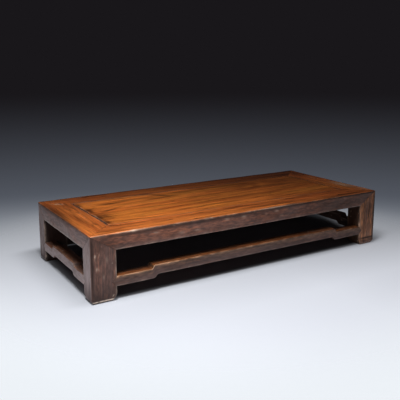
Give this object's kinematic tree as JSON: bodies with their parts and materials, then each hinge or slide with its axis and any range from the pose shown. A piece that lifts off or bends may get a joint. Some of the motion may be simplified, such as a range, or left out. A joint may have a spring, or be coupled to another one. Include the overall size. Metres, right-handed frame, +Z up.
{
  "type": "wooden display stand",
  "caption": "Low rectangular hardwood display stand: mitred frame top with a flush floating panel, legs flush with the rails, and humpback stretchers near the floor.",
  "frame": {"origin": "on the floor, under the middle of the top", "axes": "+X along the length to the right, +Y from the front to the back, +Z up"},
  "size_m": [0.56, 0.24, 0.1],
  "materials": {
    "frame_wood": "oiled, worn satin",
    "panel_wood": "oiled, polished satin",
    "batten_wood": "dry, planed"
  },
  "bodies": {
    "root": {"front_rail": "frame_wood", "back_rail": "frame_wood", "left_end_rail": "frame_wood", "right_end_rail": "frame_wood", "front_left_leg": "frame_wood", "front_right_leg": "frame_wood", "back_left_leg": "frame_wood", "back_right_leg": "frame_wood", "front_stretcher": "frame_wood", "back_stretcher": "frame_wood", "left_stretcher": "frame_wood", "right_stretcher": "frame_wood", "top_panel": "panel_wood", "left_batten": "batten_wood", "right_batten": "batten_wood"}
  },
  "joints": []
}
